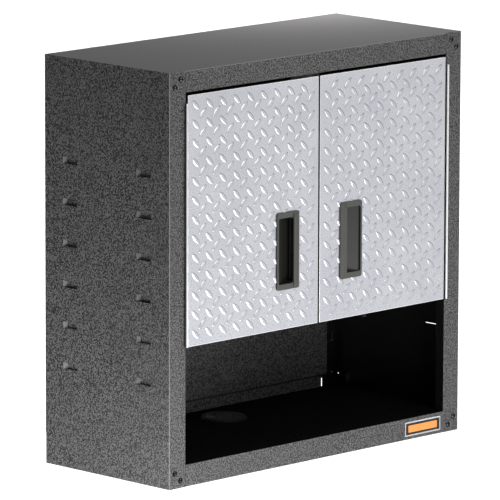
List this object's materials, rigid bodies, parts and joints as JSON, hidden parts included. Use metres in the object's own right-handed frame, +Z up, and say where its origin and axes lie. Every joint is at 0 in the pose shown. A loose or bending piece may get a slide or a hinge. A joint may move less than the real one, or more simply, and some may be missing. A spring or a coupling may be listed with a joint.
{
  "type": "hanging wall cabinet",
  "caption": "Folded-steel wall cabinet: open bay with a cord grommet below, hinged tread-plate doors with recessed pulls and a loose shelf above.",
  "frame": {"origin": "centre of the four wall fixing holes, on the back face of the back sheet", "axes": "+X to the right seen from the front, +Y towards the wall, +Z up; the doors face -Y"},
  "size_m": [0.7112, 0.312, 0.7112],
  "materials": {
    "case_paint": "hammered dark grey powder coat",
    "door_paint": "satin silver powder coat over embossed tread plate",
    "hinge_steel": "plated rolled steel",
    "handle_plastic": "fine moulded grain",
    "black_screw": "black oxide",
    "zinc_steel": "zinc plated",
    "magnet": "sintered ferrite",
    "black_plastic": "glossy moulded black",
    "badge": "printed plate with a light border"
  },
  "bodies": {
    "case": {"left_side_panel": "case_paint", "right_side_panel": "case_paint", "top_panel": "case_paint", "bottom_panel": "case_paint", "back_panel": "case_paint", "hanging_rail": "case_paint", "corner_screws": "black_screw", "back_panel_rivets": "zinc_steel", "left_hinge_frame_leaf": "hinge_steel", "right_hinge_frame_leaf": "hinge_steel", "left_hinge_pin": "hinge_steel", "right_hinge_pin": "hinge_steel", "left_hinge_frame_rivets": "hinge_steel", "right_hinge_frame_rivets": "hinge_steel", "catch_bracket": "zinc_steel", "catch_housing": "black_plastic", "catch_magnets": "magnet", "catch_rivets": "zinc_steel", "grommet_ring": "black_plastic", "name_badge": "badge"},
    "left_door": {"left_door_skin": "door_paint", "left_door_liner": "door_paint", "left_door_handle": "handle_plastic", "left_hinge_door_leaf": "hinge_steel", "left_hinge_door_rivets": "hinge_steel", "left_strike_plate": "zinc_steel"},
    "right_door": {"right_door_skin": "door_paint", "right_door_liner": "door_paint", "right_door_handle": "handle_plastic", "right_hinge_door_leaf": "hinge_steel", "right_hinge_door_rivets": "hinge_steel", "right_strike_plate": "zinc_steel"},
    "loose_shelf": {"shelf": "case_paint"},
    "cord_cap": {"grommet_cap": "black_plastic"}
  },
  "joints": [
    {"name": "left_door_hinge", "type": "hinge", "parent": "case", "child": "left_door", "pos_m": [-0.3184, -0.3089, 0.0289], "axis": [0, 0, -1], "range_deg": [0, 175]},
    {"name": "right_door_hinge", "type": "hinge", "parent": "case", "child": "right_door", "pos_m": [0.3184, -0.3089, 0.0289], "axis": [0, 0, 1], "range_deg": [0, 175]},
    {"name": "shelf_lift", "type": "slide", "parent": "case", "child": "loose_shelf", "axis": [0, 0, 1], "range_m": [0, 0.03]},
    {"name": "grommet_cap_turn", "type": "hinge", "parent": "case", "child": "cord_cap", "pos_m": [0, -0.0762, -0.3781], "axis": [0, 0, 1], "continuous": true}
  ]
}
